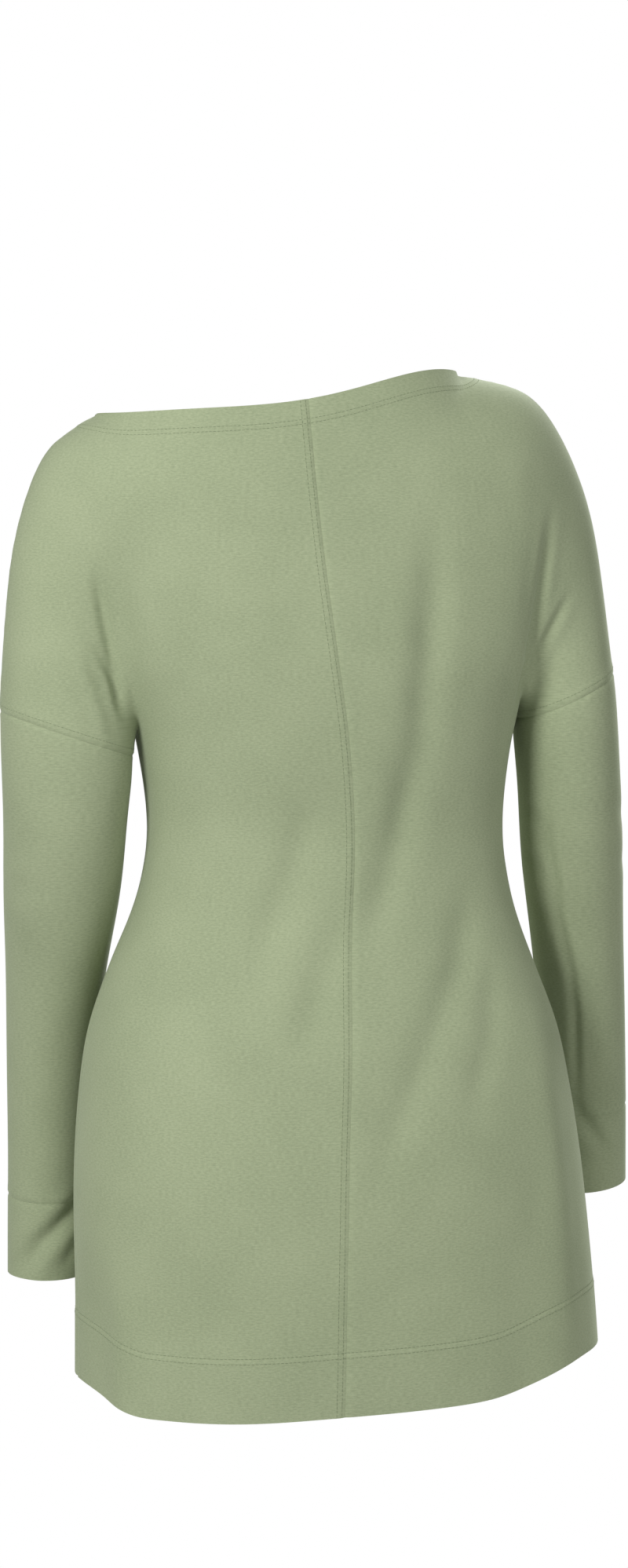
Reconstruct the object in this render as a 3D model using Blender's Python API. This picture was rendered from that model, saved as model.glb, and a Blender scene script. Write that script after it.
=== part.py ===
"""Long top with drop shoulders, long sleeves and cuffs, hanging as it is worn.

+Z is up, the front faces -Y and the wearer's left is +X. The origin lies between the
shoulders, at the height of the neck opening. The cloth is one outer surface, worked out
from tables of sections, then cut along its seams into pieces with a thin wall each.
"""
from collections import namedtuple

import bmesh
import bpy
import numpy as np

COLLECTION = "long_top"

# Cloth
WALL = 0.0012
TURNED_WALL = 0.0024
SEAM_GAP = 0.0003
CLOTH_COLOUR = (0.33, 0.40, 0.24, 1.0)
CLOTH_ROUGHNESS = 0.92

# Hem and neck edge, each turned under over a band of this depth
HEM_Z = -0.7612
HEM_DEPTH = 0.048
HEM_STEP = 0.002
NECK_TURN = 0.017

# Roundness of the body's sections, where 2 is an ellipse
ROUND_POWER = 2.3

# Mesh counts for a quarter of the body and a quarter of a sleeve, and how the rows and
# columns are spaced
TORSO_COLUMNS = 12
ARM_COLUMNS = 4
ROLL_ROWS = 4
LOWER_ROWS = 24
HEM_ROWS = 2
UPPER_ROWS = 9
SLEEVE_ROWS = 16
CUFF_ROWS = 3
EVEN_SHARE = 0.5
UPPER_ROW_POWER = 1.25
NECK_SAMPLES = 61
WELD = 0.00002

LEFT = 1
RIGHT = -1
BACK = 1
FRONT = -1
SIDES = (LEFT, RIGHT)
FACES = (BACK, FRONT)

# Rise of the hem from the centre line (place 0) to each side seam (place 1)
HemPoint = namedtuple("HemPoint", "place rise")
HEM = {
    LEFT: (HemPoint(0.0, 0.0), HemPoint(0.5, -0.0038), HemPoint(0.8, -0.0030),
           HemPoint(0.9, 0.0030), HemPoint(1.0, 0.0106)),
    RIGHT: (HemPoint(0.0, 0.0), HemPoint(0.25, 0.0019), HemPoint(0.5, 0.0046),
            HemPoint(0.65, 0.0105), HemPoint(0.75, 0.0190), HemPoint(0.85, 0.0243),
            HemPoint(1.0, 0.0258)),
}

# Body sections from hem to shoulder: half width, depths behind and before the side
# seams, the section's middle, and the places of the centre back and centre front
Section = namedtuple("Section", "z half_width back front middle seam fold")
BODY = (
    Section(-0.780, 0.2055, 0.120, 0.122, -0.0265, -0.0025, -0.0215),
    Section(-0.700, 0.2025, 0.129, 0.118, -0.0235, -0.0025, -0.0190),
    Section(-0.607, 0.1985, 0.133, 0.115, -0.0180, -0.0035, -0.0170),
    Section(-0.500, 0.1855, 0.122, 0.112, -0.0135, -0.0090, -0.0150),
    Section(-0.440, 0.1650, 0.104, 0.108, -0.0125, -0.0130, -0.0130),
    Section(-0.390, 0.1460, 0.090, 0.104, -0.0145, -0.0170, -0.0100),
    Section(-0.340, 0.1380, 0.086, 0.104, -0.0155, -0.0195, -0.0060),
    Section(-0.265, 0.1465, 0.098, 0.120, -0.0145, -0.0125, 0.0000),
    Section(-0.195, 0.1750, 0.104, 0.120, -0.0130, -0.0020, 0.0060),
    Section(-0.110, 0.2000, 0.100, 0.096, -0.0100, 0.0090, 0.0150),
    Section(-0.050, 0.2120, 0.091, 0.074, -0.0050, 0.0135, 0.0220),
    Section(0.020, 0.2150, 0.082, 0.060, 0.0000, 0.0175, 0.0280),
)

# Neck opening, an oval seen from above, with its two ends at unlike heights; it drops to
# the middle, and between the middle and each end the back edge is lifted a little
NECK_MIDDLE = 0.023
NECK_HALF_WIDTH = 0.141
NECK_Z = -0.0018
NECK_TILT = -0.0150
NECK_DEPTH = {BACK: 0.082, FRONT: 0.064}
NECK_DROP = {BACK: 0.0056, FRONT: 0.066}
NECK_DROP_POWER = {BACK: 1.0, FRONT: 1.8}
NECK_LIFT = {BACK: {LEFT: 0.0020, RIGHT: 0.0112}, FRONT: {LEFT: 0.0, RIGHT: 0.0}}

# The line inside each shoulder round which the cloth rolls, from the neck to the armhole,
# with the outer edge that it rolls to, as distances from the middle
Shoulder = namedtuple("Shoulder", "axis_x axis_z edge_x edge_z")
SHOULDER = {
    LEFT: (
        Shoulder(0.128, -0.072, 0.1640, -0.0166),
        Shoulder(0.145, -0.075, 0.1860, -0.0305),
        Shoulder(0.158, -0.085, 0.2075, -0.0500),
        Shoulder(0.170, -0.113, 0.2230, -0.0930),
        Shoulder(0.181, -0.163, 0.2325, -0.1480),
        Shoulder(0.185, -0.2495, 0.2390, -0.2360),
    ),
    RIGHT: (
        Shoulder(0.099, -0.053, 0.1180, 0.0132),
        Shoulder(0.128, -0.058, 0.1500, 0.0078),
        Shoulder(0.148, -0.071, 0.1895, -0.0085),
        Shoulder(0.166, -0.102, 0.2210, -0.0720),
        Shoulder(0.185, -0.152, 0.2340, -0.1320),
        Shoulder(0.200, -0.2325, 0.2435, -0.2100),
    ),
}
CORNER_ROW = 2
NECK_SHARE = {LEFT: 0.64, RIGHT: 0.56}
CENTRE_AXIS_Z = {BACK: -0.060, FRONT: -0.110}
UNDERARM_Z = {LEFT: -0.263, RIGHT: -0.248}
ARM_DEPTH = 0.050

# Softness of the crease between the body and the upper arm, growing above the underarm
CREASE_SOFTNESS = 0.030
CREASE_REACH = 0.090
LEAST_SOFTNESS = 0.000001

# Sleeve sections from the armhole seam to the cuff's end: centre, the slope of the section
# across the arm and from back to front, and half width and half depth
Ring = namedtuple("Ring", "z x y tilt lean half_width half_depth")
SLEEVE = {
    LEFT: (
        Ring(-0.2585, 0.1867, 0.000, 0.36, 0.00, 0.0552, 0.0505),
        Ring(-0.3200, 0.1860, -0.011, 0.10, 0.06, 0.0490, 0.0500),
        Ring(-0.3800, 0.1850, -0.034, 0.04, 0.14, 0.0465, 0.0480),
        Ring(-0.4500, 0.1852, -0.066, 0.00, 0.18, 0.0400, 0.0430),
        Ring(-0.5300, 0.1855, -0.094, 0.00, 0.14, 0.0350, 0.0390),
        Ring(-0.6340, 0.1855, -0.113, 0.00, 0.06, 0.0315, 0.0360),
        Ring(-0.6960, 0.1850, -0.118, 0.00, 0.02, 0.0315, 0.0350),
    ),
    RIGHT: (
        Ring(-0.2345, 0.2050, 0.000, 0.44, 0.00, 0.0440, 0.0510),
        Ring(-0.3000, 0.2125, -0.009, 0.20, 0.05, 0.0410, 0.0540),
        Ring(-0.3600, 0.2195, -0.025, 0.10, 0.11, 0.0405, 0.0520),
        Ring(-0.4300, 0.2300, -0.047, 0.06, 0.15, 0.0375, 0.0460),
        Ring(-0.5000, 0.2410, -0.070, 0.06, 0.16, 0.0350, 0.0410),
        Ring(-0.5750, 0.2495, -0.090, 0.08, 0.12, 0.0335, 0.0370),
        Ring(-0.6390, 0.2525, -0.098, 0.12, 0.08, 0.0330, 0.0350),
    ),
}
SEAM_ROW = 1
CUFF_ROW = -2

# Smoothing of the shoulders after the patches are joined, in steps inward and outward
# that keep the size
SMOOTH_STEPS = 12
SMOOTH_SHARES = (0.50, -0.52)
SMOOTH_FROM_Z = -0.235
SMOOTH_FULL_Z = -0.150

# Folds of the body: soft troughs (height below 0) and ridges along lines of x and z
Fold = namedtuple("Fold", "face width height line")
FOLDS = (
    Fold(BACK, 0.010, -0.0050, ((-0.076, -0.085), (-0.072, -0.196), (-0.062, -0.286),
                                (-0.041, -0.376), (-0.010, -0.440))),
    Fold(BACK, 0.011, 0.0030, ((-0.056, -0.090), (-0.052, -0.196), (-0.042, -0.286),
                               (-0.021, -0.366), (0.008, -0.430))),
    Fold(BACK, 0.009, -0.0044, ((0.004, -0.280), (0.018, -0.345), (0.036, -0.390),
                                (0.064, -0.445))),
    Fold(BACK, 0.009, -0.0042, ((-0.010, -0.390), (0.010, -0.448), (0.032, -0.500))),
    Fold(BACK, 0.010, -0.0055, ((-0.113, -0.370), (-0.099, -0.444), (-0.069, -0.493),
                                (-0.044, -0.547), (-0.022, -0.602))),
    Fold(BACK, 0.009, -0.0042, ((-0.127, -0.430), (-0.120, -0.493), (-0.098, -0.555))),
    Fold(BACK, 0.008, 0.0050, ((-0.164, -0.460), (-0.172, -0.600), (-0.177, -0.775))),
    Fold(BACK, 0.008, -0.0045, ((-0.148, -0.560), (-0.152, -0.660), (-0.153, -0.775))),
    Fold(BACK, 0.007, -0.0042, ((0.171, -0.650), (0.170, -0.775))),
    Fold(BACK, 0.007, 0.0040, ((0.154, -0.650), (0.152, -0.775))),
    Fold(BACK, 0.009, -0.0050, ((0.166, -0.125), (0.159, -0.180), (0.150, -0.240))),
    Fold(BACK, 0.009, -0.0040, ((-0.180, -0.090), (-0.172, -0.160), (-0.164, -0.228))),
    Fold(FRONT, 0.012, -0.0045, ((0.062, -0.150), (0.070, -0.230), (0.062, -0.310),
                                 (0.036, -0.400))),
    Fold(FRONT, 0.012, -0.0040, ((-0.070, -0.160), (-0.082, -0.240), (-0.074, -0.320),
                                 (-0.050, -0.390))),
    Fold(FRONT, 0.012, -0.0035, ((0.110, -0.360), (0.092, -0.430), (0.050, -0.500))),
    Fold(FRONT, 0.012, -0.0035, ((-0.120, -0.350), (-0.108, -0.420), (-0.070, -0.505))),
    Fold(FRONT, 0.010, -0.0030, ((0.122, -0.600), (0.128, -0.775))),
    Fold(FRONT, 0.010, 0.0030, ((-0.118, -0.590), (-0.126, -0.775))),
    Fold(FRONT, 0.010, -0.0035, ((0.162, -0.130), (0.154, -0.190), (0.146, -0.240))),
    Fold(FRONT, 0.010, -0.0035, ((-0.180, -0.120), (-0.172, -0.180), (-0.164, -0.228))),
)
FOLD_TAPER = 0.25


def smooth_value(table, key, name, at):
    """Reads a column of a table at other places, on a smooth curve that never overshoots."""
    rows = sorted(table, key=lambda row: getattr(row, key))
    places = np.array([getattr(row, key) for row in rows])
    values = np.array([getattr(row, name) for row in rows])
    steps = np.diff(values) / np.diff(places)
    before, after = steps[:-1], steps[1:]
    same_way = before * after > 0
    total = np.where(same_way, before + after, 1.0)
    turns = np.where(same_way, 2 * before * after / total, 0.0)
    slopes = np.concatenate([steps[:1], turns, steps[-1:]])
    at = np.clip(at, places[0], places[-1])
    index = np.clip(np.searchsorted(places, at) - 1, 0, len(places) - 2)
    span = places[index + 1] - places[index]
    t = (at - places[index]) / span
    return (
        values[index] * (1 + 2 * t) * (1 - t) ** 2
        + slopes[index] * span * t * (1 - t) ** 2
        + values[index + 1] * t ** 2 * (3 - 2 * t)
        - slopes[index + 1] * span * t ** 2 * (1 - t)
    )


def body(name, z):
    return smooth_value(BODY, "z", name, z)


def smooth_step(value):
    t = np.clip(value, 0.0, 1.0)
    return t * t * (3 - 2 * t)


def centre_line(face, z):
    """The x of the centre back seam, or of the front's centre fold."""
    return body("seam" if face == BACK else "fold", z)


def hem_z(side, place):
    return HEM_Z + smooth_value(HEM[side], "place", "rise", place)


def underarm(side):
    z = UNDERARM_Z[side]
    return body("middle", z) + side * body("half_width", z), z


def torso_depth(face, x, z):
    part = np.clip(np.abs(x - body("middle", z)) / body("half_width", z), 0.0, 1.0)
    depth = body("back" if face == BACK else "front", z)
    return depth * (1 - part ** ROUND_POWER) ** (1 / ROUND_POWER)


def shoulder_rows(side):
    """The side's table, with the last axis point midway across the armhole."""
    rows = SHOULDER[side]
    x, z = underarm(side)
    last = rows[-1]
    middle = last._replace(axis_x=0.5 * (side * x + last.edge_x), axis_z=0.5 * (z + last.edge_z))
    return rows[:-1] + (middle,)


def arm_depth(side, x, z):
    """Depth of the upper arm's inner half, level beyond its axis."""
    rows = shoulder_rows(side)[CORNER_ROW:]
    armhole = rows[-1]
    axis = smooth_value(rows, "axis_z", "axis_x", z)
    radius = armhole.axis_x - side * underarm(side)[0]
    inward = np.clip((axis - side * x) / radius, 0.0, 1.0)
    return ARM_DEPTH * np.sqrt(1 - inward ** 2)


def depth(side, face, x, z):
    """How far the cloth stands from the plane of the side seams, above the underarm."""
    torso = torso_depth(face, x, z)
    arm = arm_depth(side, x, z)
    growth = smooth_step((z - UNDERARM_Z[side]) / CREASE_REACH)
    soft = LEAST_SOFTNESS + CREASE_SOFTNESS * growth
    overlap = np.maximum(soft - np.abs(torso - arm), 0.0)
    return np.maximum(torso, arm) + overlap ** 2 / (4 * soft)


def side_spacing(count):
    """Places from the centre, 0, to the side, 1, closer together at the side."""
    sine = np.sin(np.linspace(0.0, np.pi / 2, count + 1))
    return EVEN_SHARE * sine + (1 - EVEN_SHARE) * sine ** (2 / ROUND_POWER)


def line_places(table, names, count):
    """Points at even steps along a table's rows, on a smooth curve through them."""
    Row = namedtuple("Row", "place " + " ".join(names))
    corners = np.array([[getattr(row, name) for name in names] for row in table])
    steps = np.linalg.norm(np.diff(corners[:, :2], axis=0), axis=1)
    places = np.concatenate([[0.0], np.cumsum(steps)])
    rows = [Row(place, *values) for place, values in zip(places, corners)]
    at = np.linspace(0.0, places[-1], count + 1)
    return np.stack([smooth_value(rows, "place", name, at) for name in names], axis=-1)


def neck_edge(face, turn):
    """A point of the neck edge, at a turn of -1 (right end) to 1 (left end)."""
    angle = turn * np.pi / 2
    x = NECK_MIDDLE + NECK_HALF_WIDTH * np.sin(angle)
    y = NECK_DEPTH[face] * np.cos(angle)
    lift = np.where(angle > 0, NECK_LIFT[face][LEFT], NECK_LIFT[face][RIGHT])
    round_part = np.maximum(np.cos(angle), 0.0) ** NECK_DROP_POWER[face]
    z = NECK_Z + NECK_TILT * np.sin(angle) - NECK_DROP[face] * round_part
    return x, y, z + lift * np.sin(2 * angle) ** 2


def centre_turn(face):
    """The turn at which the neck edge meets the centre line."""
    x = centre_line(face, NECK_Z - NECK_DROP[face])
    return float(np.arcsin((x - NECK_MIDDLE) / NECK_HALF_WIDTH) * 2 / np.pi)


def roll_line(side, face):
    """Rows of axis x, axis z, edge x, edge z and edge depth, from the centre to the armhole."""
    shoulder_columns = TORSO_COLUMNS + ARM_COLUMNS
    names = ("axis_x", "axis_z", "edge_x", "edge_z")
    neck_columns = int(round(shoulder_columns * NECK_SHARE[side]))
    rows = shoulder_rows(side)
    first = rows[0]
    start_turn = centre_turn(face)
    edge_x, edge_y, edge_z = neck_edge(face, np.linspace(start_turn, side, neck_columns + 1))
    part = np.linspace(0.0, 1.0, neck_columns + 1)
    start_x = centre_line(face, CENTRE_AXIS_Z[face])
    axis_x = start_x + (side * first.axis_x - start_x) * part
    blend = smooth_step(part)
    axis_z = CENTRE_AXIS_Z[face] + (first.axis_z - CENTRE_AXIS_Z[face]) * blend
    neck = np.stack([axis_x, axis_z, edge_x, edge_z, edge_y], axis=-1)
    ridge = line_places(rows[:CORNER_ROW + 1], names, shoulder_columns - neck_columns)
    outer = line_places(rows[CORNER_ROW:], names, UPPER_ROWS)
    seam = np.concatenate([ridge[1:], outer[1:]])
    seam = seam * (side, 1.0, side, 1.0)
    seam = np.concatenate([seam, np.zeros((len(seam), 1))], axis=1)
    return np.concatenate([neck, seam])


def coons(bottom, top, inner, outer):
    """Fills the plane patch between four edges, rows upward and columns outward."""
    rows, columns = len(inner), len(bottom)
    r = np.linspace(0.0, 1.0, rows)[:, None, None]
    c = np.linspace(0.0, 1.0, columns)[None, :, None]
    across = inner[:, None] * (1 - c) + outer[:, None] * c
    along = bottom[None] * (1 - r) + top[None] * r
    corners = (
        bottom[0] * (1 - r) * (1 - c) + bottom[-1] * (1 - r) * c
        + top[0] * r * (1 - c) + top[-1] * r * c
    )
    return across + along - corners


def lower_patch(side, face):
    """Body from the hem to the underarm, between a centre line and a side seam."""
    spacing = side_spacing(TORSO_COLUMNS)
    middle_z = 0.5 * (UNDERARM_Z[LEFT] + UNDERARM_Z[RIGHT])
    top_z = middle_z + (UNDERARM_Z[side] - middle_z) * spacing
    hem_top = HEM_DEPTH / (middle_z - HEM_Z)
    step = HEM_STEP / (middle_z - HEM_Z)
    hem = np.linspace(0.0, hem_top, HEM_ROWS + 1)
    above = np.linspace(hem_top + step, 1.0, LOWER_ROWS - HEM_ROWS)
    height = np.concatenate([hem, above])[:, None]
    bottom_z = hem_z(side, spacing)
    z = bottom_z[None] + (top_z - bottom_z)[None] * height
    centre = centre_line(face, z)
    edge = body("middle", z) + side * body("half_width", z)
    x = centre + (edge - centre) * spacing[None]
    y = face * torso_depth(face, x, z)
    return np.stack([x, y, z], axis=-1)


def upper_patch(side, face):
    """Body from the underarm to the line where the cloth starts to roll over the shoulder."""
    lower_top = lower_patch(side, face)[-1][:, [0, 2]]
    roll = roll_line(side, face)
    columns = TORSO_COLUMNS + ARM_COLUMNS
    top = roll[:columns + 1, :2]
    outer = roll[columns:, :2][::-1]
    start = lower_top[-1]
    end = roll[-1, :2]
    step = 1 - np.cos(np.linspace(0.0, np.pi / 2, ARM_COLUMNS + 1)[1:])
    armhole = start + (end - start) * step[:, None]
    bottom = np.concatenate([lower_top, armhole])
    height = np.linspace(0.0, 1.0, UPPER_ROWS + 1) ** UPPER_ROW_POWER
    z = lower_top[0][1] + (top[0][1] - lower_top[0][1]) * height
    inner = np.stack([centre_line(face, z), z], axis=-1)
    inner[-1] = top[0]
    plane = coons(bottom, top, inner, outer)
    x, z = plane[..., 0], plane[..., 1]
    return np.stack([x, face * depth(side, face, x, z), z], axis=-1)


def roll_patch(side, face):
    """The band that rolls from the back or front over the shoulder to its seam."""
    roll = roll_line(side, face)
    axis = roll[:, None, :2]
    edge = roll[:, None, 2:4]
    full = depth(side, face, roll[:, 2], roll[:, 3])
    stop = np.arccos(np.clip(roll[:, 4] / full, 0.0, 1.0))
    angle = stop[:, None] * np.linspace(0.0, 1.0, ROLL_ROWS + 1)[None]
    share = np.sin(angle) / np.sin(stop)[:, None]
    plane = axis + (edge - axis) * share[..., None]
    x, z = plane[..., 0], plane[..., 1]
    y = depth(side, face, x, z) * np.cos(angle)
    return np.stack([x, face * y, z], axis=-1)


def sleeve_rows(side):
    """The armhole's section, then those of the table."""
    armhole = shoulder_rows(side)[-1]
    inner_x, inner_z = underarm(side)
    run = armhole.edge_x - side * inner_x
    rise = armhole.edge_z - inner_z
    half = 0.5 * float(np.hypot(run, rise))
    tilt = float(np.arctan2(rise, run))
    top = Ring(armhole.axis_z, armhole.axis_x, 0.0, tilt, 0.0, half, ARM_DEPTH)
    return (top,) + SLEEVE[side]


def half_ring():
    """Angles round the back half of an arm, from its inner side to its outer side."""
    inner = np.linspace(0.0, np.pi / 2, ARM_COLUMNS + 1)
    outer = np.pi / 2 + np.linspace(0.0, np.pi / 2, ROLL_ROWS + 1)[1:]
    return np.concatenate([inner, outer])


def tube_patch(side, angles, first_z, last_z, rows):
    """A stretch of the sleeve's surface, at given angles round the arm."""
    table = sleeve_rows(side)
    z = np.linspace(first_z, last_z, rows + 1)
    value = {name: smooth_value(table, "z", name, z)[:, None] for name in Ring._fields[1:]}
    across = -np.cos(angles)[None] * value["half_width"]
    back = np.sin(angles)[None] * value["half_depth"]
    x = side * (value["x"] + across * np.cos(value["tilt"]))
    y = value["y"] + back * np.cos(value["lean"])
    height = z[:, None] + across * np.sin(value["tilt"]) - back * np.sin(value["lean"])
    return np.stack([x, y, height], axis=-1)


def patches():
    """All patches of the surface with the name of the piece that each belongs to."""
    names = {(LEFT, BACK): "back_left", (RIGHT, BACK): "back_right"}
    around = np.concatenate([half_ring(), 2 * np.pi - half_ring()[:-1][::-1]])
    result = []
    for side in SIDES:
        table = sleeve_rows(side)
        seam_z = table[SEAM_ROW].z
        cuff_z = table[CUFF_ROW].z
        for face in FACES:
            piece = names.get((side, face), "front")
            for patch in (lower_patch, upper_patch, roll_patch):
                result.append((piece, patch(side, face)))
            cap = tube_patch(side, face * half_ring(), table[0].z, seam_z, 1)
            result.append((piece, cap))
        label = "left" if side == LEFT else "right"
        sleeve = tube_patch(side, around, seam_z, cuff_z, SLEEVE_ROWS)
        cuff = tube_patch(side, around, cuff_z, table[-1].z, CUFF_ROWS)
        result.append(("sleeve_" + label, sleeve))
        result.append(("cuff_" + label, cuff))
    return result


def smooth_shoulders(mesh):
    """Evens out the joins of the patches above the underarms, and the neck edge along itself."""
    reach = SMOOTH_FULL_Z - SMOOTH_FROM_Z
    weight = {v: float(smooth_step((v.co.z - SMOOTH_FROM_Z) / reach)) for v in mesh.verts}
    near = {vertex: [edge.other_vert(vertex) for edge in vertex.link_edges
                     if edge.is_boundary or not vertex.is_boundary]
            for vertex in mesh.verts if weight[vertex] > 0}
    for share in SMOOTH_SHARES * SMOOTH_STEPS:
        target = {vertex: sum((other.co for other in others), vertex.co * 0) / len(others)
                  for vertex, others in near.items()}
        for vertex, place in target.items():
            vertex.co = vertex.co.lerp(place, share * weight[vertex])


def along_line(points, line):
    """Distance of points from a line of x and z, and how far along it each one is."""
    line = np.array(line)
    lengths = np.linalg.norm(np.diff(line, axis=0), axis=1)
    best = np.full(len(points), np.inf)
    place = np.zeros(len(points))
    done = 0.0
    for start, end, length in zip(line, line[1:], lengths):
        part = np.clip((points - start) @ (end - start) / length ** 2, 0.0, 1.0)
        away = np.linalg.norm(points - start - part[:, None] * (end - start), axis=1)
        nearer = away < best
        best = np.where(nearer, away, best)
        place = np.where(nearer, (done + part * length) / lengths.sum(), place)
        done += length
    return best, place


def fold_heights(points):
    """Height of the body's folds at each point, along the cloth's normal."""
    height = np.zeros(len(points))
    for fold in FOLDS:
        away, place = along_line(points[:, [0, 2]], fold.line)
        ends = smooth_step(place / FOLD_TAPER)
        if fold.line[-1][1] > HEM_Z:
            ends = ends * smooth_step((1 - place) / FOLD_TAPER)
        on_face = np.sign(points[:, 1]) == fold.face
        height += on_face * fold.height * ends * np.exp(-((away / fold.width) ** 2) / 2)
    return height


def surface():
    """Welds the patches into one bmesh whose faces carry their piece's number."""
    mesh = bmesh.new()
    layer = mesh.faces.layers.int.new("piece")
    names = []
    for piece, points in patches():
        if piece not in names:
            names.append(piece)
        grid = [[mesh.verts.new(point) for point in row] for row in points]
        for row, above in zip(grid, grid[1:]):
            for a, b, c, d in zip(row, row[1:], above[1:], above):
                face = mesh.faces.new((a, b, c, d))
                face[layer] = names.index(piece)
    bmesh.ops.remove_doubles(mesh, verts=mesh.verts, dist=WELD)
    bmesh.ops.recalc_face_normals(mesh, faces=mesh.faces)
    hindmost = max(mesh.faces, key=lambda face: face.calc_center_median().y)
    if hindmost.normal.y < 0:
        bmesh.ops.reverse_faces(mesh, faces=mesh.faces)
    smooth_shoulders(mesh)
    mesh.normal_update()
    sleeves = {names.index(name) for name in names if name.startswith(("sleeve", "cuff"))}
    verts = [v for v in mesh.verts if not any(f[layer] in sleeves for f in v.link_faces)]
    heights = fold_heights(np.array([vertex.co for vertex in verts]))
    for vertex, height in zip(verts, heights):
        vertex.co += vertex.normal * float(height)
    mesh.normal_update()
    return mesh, names


def neck_distance(point):
    """Distance of a point from the neck edge."""
    turns = np.linspace(-1.0, 1.0, NECK_SAMPLES)
    edges = [np.stack([x, face * y, z], axis=-1)
             for face in FACES for x, y, z in [neck_edge(face, turns)]]
    return min(float(np.linalg.norm(edge - np.array(point), axis=1).min()) for edge in edges)


def hem_edge(point):
    """Height of the hem's edge below a point of the body."""
    face = BACK if point.y > 0 else FRONT
    centre = float(centre_line(face, point.z))
    side = LEFT if point.x > centre else RIGHT
    edge = float(body("middle", point.z)) + side * float(body("half_width", point.z))
    part = min((point.x - centre) / (edge - centre), 1.0)
    return float(hem_z(side, part))


def wall_at(point, piece):
    """Thickness of the cloth: double in the cuffs, the hem and the turned neck edge."""
    hem = point.z < hem_edge(point) + HEM_DEPTH + HEM_STEP / 2
    if piece.startswith("cuff") or hem or neck_distance(point) < NECK_TURN:
        return TURNED_WALL
    return WALL


def cut_piece(mesh, number, piece):
    """One piece of the surface as a closed wall, drawn back from its seams."""
    layer = mesh.faces.layers.int["piece"]
    faces = [face for face in mesh.faces if face[layer] == number]
    own = {vertex: [f for f in vertex.link_faces if f[layer] == number]
           for face in faces for vertex in face.verts}
    result = bmesh.new()
    outer = {}
    inner = {}
    for vertex, near in own.items():
        point = vertex.co.copy()
        if len(near) < len(vertex.link_faces):
            inward = sum((f.calc_center_median() - point for f in near), point * 0)
            inward -= vertex.normal * inward.dot(vertex.normal)
            point += inward.normalized() * (SEAM_GAP / 2)
        outer[vertex] = result.verts.new(point)
        inner[vertex] = result.verts.new(point - vertex.normal * wall_at(vertex.co, piece))
    for face in faces:
        result.faces.new([outer[v] for v in face.verts])
        result.faces.new([inner[v] for v in reversed(face.verts)])
        for loop in face.loops:
            beside = [f for f in loop.edge.link_faces if f[layer] == number]
            if len(beside) == 1:
                a, b = loop.vert, loop.link_loop_next.vert
                result.faces.new((outer[b], outer[a], inner[a], inner[b]))
    return result


def cloth_material(name):
    material = bpy.data.materials.new(name)
    material.use_nodes = True
    shader = material.node_tree.nodes["Principled BSDF"]
    shader.inputs["Base Color"].default_value = CLOTH_COLOUR
    shader.inputs["Roughness"].default_value = CLOTH_ROUGHNESS
    shader.inputs["Metallic"].default_value = 0.0
    return material


def main():
    for item in list(bpy.data.objects):
        bpy.data.objects.remove(item, do_unlink=True)
    collection = bpy.data.collections.new(COLLECTION)
    bpy.context.scene.collection.children.link(collection)
    mesh, names = surface()
    for number, piece in enumerate(names):
        cut = cut_piece(mesh, number, piece)
        data = bpy.data.meshes.new(piece)
        cut.to_mesh(data)
        cut.free()
        data.shade_smooth()
        data.materials.append(cloth_material(piece))
        collection.objects.link(bpy.data.objects.new(piece, data))
    mesh.free()


main()
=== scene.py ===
"""Looks of the long top: fine knit shells on the forms of its solids, seams and stitching.

The frame is the part's own: +Z is up, the front faces -Y, the wearer's left is +X, and the
origin lies between the shoulders. The surface is worked out from the same tables as the
solids, made finer, given small creases and seams, and cut into the same pieces.
"""
from collections import namedtuple

import bmesh
import bpy
import numpy as np
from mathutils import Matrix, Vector
from mathutils.kdtree import KDTree


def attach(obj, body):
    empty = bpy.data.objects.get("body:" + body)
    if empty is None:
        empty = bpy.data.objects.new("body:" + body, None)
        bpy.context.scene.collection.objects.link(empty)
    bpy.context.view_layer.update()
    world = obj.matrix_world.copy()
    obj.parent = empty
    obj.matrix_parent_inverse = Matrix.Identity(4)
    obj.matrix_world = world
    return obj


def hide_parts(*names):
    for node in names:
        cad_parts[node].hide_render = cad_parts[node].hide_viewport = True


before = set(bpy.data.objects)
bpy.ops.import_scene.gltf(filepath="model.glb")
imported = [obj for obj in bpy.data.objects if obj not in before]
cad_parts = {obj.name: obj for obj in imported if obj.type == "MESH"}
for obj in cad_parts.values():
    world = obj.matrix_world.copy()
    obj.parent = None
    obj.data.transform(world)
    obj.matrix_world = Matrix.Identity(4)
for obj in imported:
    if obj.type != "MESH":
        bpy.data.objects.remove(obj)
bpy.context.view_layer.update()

# Cloth: its wall, single and turned under, and the angle from which an edge is sharp
WALL = 0.0012
TURNED_WALL = 0.0024
SHARP_DEGREES = 50.0

# Hem and neck edge, each turned under over a band of this depth
HEM_Z = -0.7612
HEM_DEPTH = 0.048
HEM_STEP = 0.002
NECK_TURN = 0.017

# Roundness of the body's sections, where 2 is an ellipse
ROUND_POWER = 2.3

# Mesh counts for a quarter of the body and a quarter of a sleeve, and how the rows and
# columns are spaced
TORSO_COLUMNS = 12
ARM_COLUMNS = 4
ROLL_ROWS = 4
LOWER_ROWS = 24
HEM_ROWS = 2
UPPER_ROWS = 9
SLEEVE_ROWS = 16
CUFF_ROWS = 3
EVEN_SHARE = 0.5
UPPER_ROW_POWER = 1.25

# Points of the patches that are closer than this are joined
WELD = 0.00002

LEFT = 1
RIGHT = -1
BACK = 1
FRONT = -1
SIDES = (LEFT, RIGHT)
FACES = (BACK, FRONT)

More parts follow.
